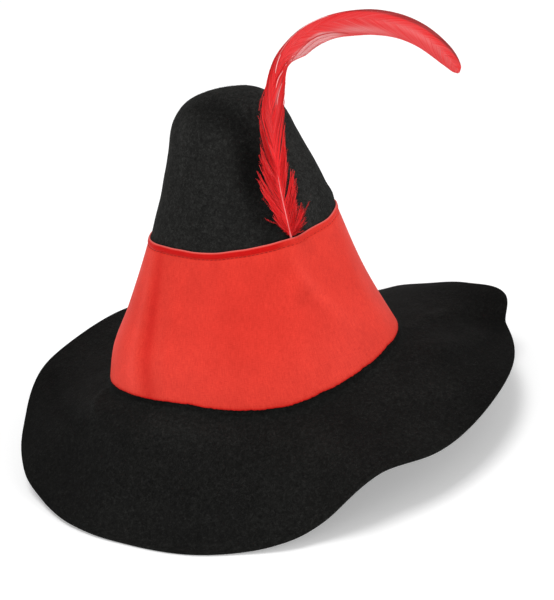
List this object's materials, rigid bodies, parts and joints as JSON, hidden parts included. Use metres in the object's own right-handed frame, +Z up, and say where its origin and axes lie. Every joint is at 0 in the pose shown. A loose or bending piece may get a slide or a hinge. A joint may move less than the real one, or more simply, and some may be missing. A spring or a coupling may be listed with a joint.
{
  "type": "costume hat",
  "caption": "Felt costume hat with a tall rounded cone crown, a wide wavy brim, a wide satin band and a curved cock's feather tucked behind it.",
  "frame": {"origin": "on the floor, at the middle of the footprint of the hat's bounding box", "axes": "+X towards the back of the hat, which is its longest way, +Y towards the wearer's right, +Z up; the feather stands on the -Y side"},
  "size_m": [0.3562, 0.3204, 0.2892],
  "materials": {
    "felt": "matte black pressed felt",
    "satin": "satin with a soft sheen",
    "feather": "dyed feather, lightly glossy"
  },
  "bodies": {
    "root": {"felt_body": "felt", "band": "satin", "feather": "feather"}
  },
  "joints": []
}
